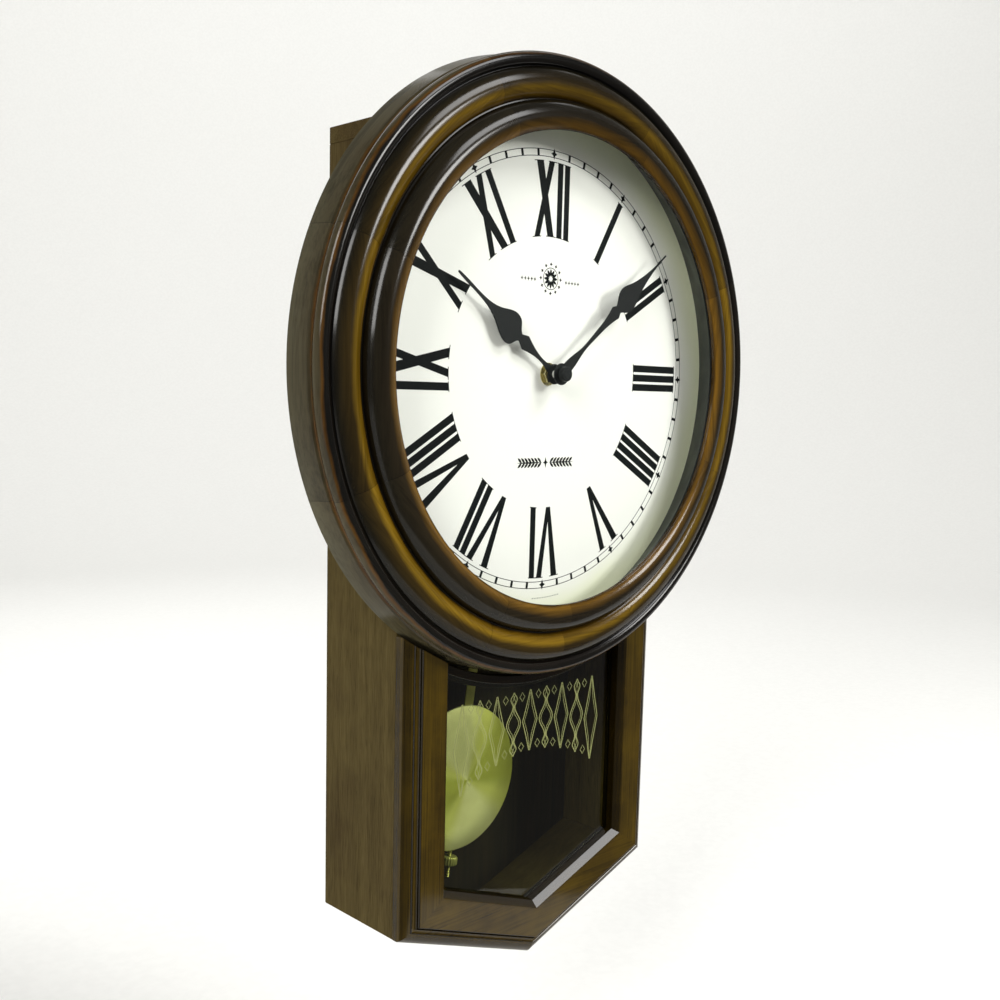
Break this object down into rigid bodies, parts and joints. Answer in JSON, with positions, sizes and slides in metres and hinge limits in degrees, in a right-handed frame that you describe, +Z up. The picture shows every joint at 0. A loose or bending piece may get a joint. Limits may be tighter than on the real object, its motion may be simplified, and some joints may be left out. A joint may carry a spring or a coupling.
{
  "type": "pendulum wall clock",
  "caption": "Wall clock with a round moulded wooden bezel over a slim case, a glazed door with a shallow V foot, and a swinging pendulum.",
  "frame": {"origin": "seat of the hanger's keyhole slot, in the plane of the wall", "axes": "+X to the right as seen from the front, +Y into the wall, +Z up"},
  "size_m": [0.35, 0.0944, 0.5273],
  "materials": {
    "stained_wood": "dark brown stain, satin lacquer",
    "bezel_wood": "near-black brown stain with rubbed amber ridges, satin lacquer",
    "door_wood": "dark brown stain with amber flats, satin lacquer",
    "back_board_wood": "thin plywood, brown stain",
    "plain_wood": "unstained softwood",
    "zinc_steel": "zinc plated",
    "spring_steel": "nickel plated",
    "motor_steel": "plain",
    "pin_steel": "turned",
    "copper_coil": "enamelled copper wire",
    "circuit_green": "green solder mask",
    "movement_plastic": "black moulded",
    "knob_plastic": "black moulded",
    "gear_plastic": "natural acetal",
    "catch_plastic": "brown moulded",
    "battery_sleeve": "printed sleeve",
    "magnet_black": "sintered ferrite",
    "centre_brass": "plain",
    "rod_brass": "lacquered",
    "bob_brass": "spun and lacquered",
    "hinge_brass": "dull",
    "dial_glass": "clear",
    "door_glass": "clear, screen printed in gold",
    "black_ring": "satin black",
    "dial_paint": "cream enamel, printed black",
    "black_hands": "satin black"
  },
  "bodies": {
    "case": {"side_panel_left": "stained_wood", "side_panel_right": "stained_wood", "top_panel": "stained_wood", "bottom_panel_left": "stained_wood", "bottom_panel_right": "stained_wood", "back_board": "back_board_wood", "hanging_rail": "plain_wood", "hanger_plate": "zinc_steel", "glue_strips": "plain_wood", "cross_rail": "plain_wood", "hanger_screws": "zinc_steel", "back_board_screws": "zinc_steel", "bezel_segments": "bezel_wood", "dial_glass": "dial_glass", "spacer_ring": "black_ring", "dial_plate": "dial_paint", "dial_board": "plain_wood", "board_clips": "zinc_steel", "clip_screws": "zinc_steel", "bezel_screws": "zinc_steel", "movement_front_cover": "movement_plastic", "movement_rear_cover": "movement_plastic", "battery_contacts": "spring_steel", "motor_stator": "motor_steel", "motor_coil": "copper_coil", "circuit_board": "circuit_green", "pendulum_coil": "copper_coil", "centre_bush": "centre_brass", "dial_washer": "centre_brass", "dial_nut": "centre_brass", "pendulum_pivot": "pin_steel", "hinge_case_leaves": "hinge_brass", "hinge_pins": "pin_steel", "catch_body": "catch_plastic", "catch_magnet": "magnet_black"},
    "rotor": {"motor_rotor": "motor_steel"},
    "minute": {"minute_arbor": "gear_plastic", "minute_hand": "black_hands", "hand_nut": "black_hands"},
    "hour": {"hour_wheel": "gear_plastic", "hour_hand": "black_hands"},
    "setting": {"minute_wheel": "gear_plastic", "set_knob": "knob_plastic"},
    "battery": {"battery": "battery_sleeve"},
    "pendulum": {"pendulum_hanger": "knob_plastic", "drive_magnet": "magnet_black", "pendulum_rod": "rod_brass", "pendulum_bob": "bob_brass", "bob_back": "bob_brass", "rating_screw": "rod_brass", "rating_nut": "rod_brass"},
    "door": {"door_stile_left": "door_wood", "door_stile_right": "door_wood", "door_rail_left": "door_wood", "door_rail_right": "door_wood", "door_top_rail": "door_wood", "door_glass": "door_glass", "glass_beads": "door_wood", "hinge_door_leaves": "hinge_brass", "strike_plate": "zinc_steel"}
  },
  "joints": [
    {"name": "door_hinge", "type": "hinge", "parent": "case", "child": "door", "pos_m": [0.1068, -0.06285, -0.333], "axis": [0, 0, 1], "range_deg": [0, 130]},
    {"name": "pendulum_swing", "type": "hinge", "parent": "case", "child": "pendulum", "pos_m": [0, -0.035, -0.133], "axis": [0, -1, 0], "range_deg": [-0.7, 17.3]},
    {"name": "minute_turn", "type": "hinge", "parent": "case", "child": "minute", "pos_m": [0, -0.08, -0.1], "axis": [0, 1, 0], "continuous": true},
    {"name": "hour_turn", "type": "hinge", "parent": "case", "child": "hour", "pos_m": [0, -0.075, -0.1], "axis": [0, 1, 0], "continuous": true},
    {"name": "setting_turn", "type": "hinge", "parent": "case", "child": "setting", "pos_m": [0, -0.045, -0.112], "axis": [0, 1, 0], "continuous": true},
    {"name": "rotor_turn", "type": "hinge", "parent": "case", "child": "rotor", "pos_m": [-0.009, -0.052, -0.128], "axis": [0, 1, 0], "continuous": true},
    {"name": "battery_removal", "type": "slide", "parent": "case", "child": "battery", "axis": [0, 1, 0], "range_m": [0, 0.045]}
  ],
  "couplings": [
    {"joint": "hour_turn", "follows": "minute_turn", "ratio": 0.083333},
    {"joint": "setting_turn", "follows": "minute_turn", "ratio": -0.33333}
  ]
}
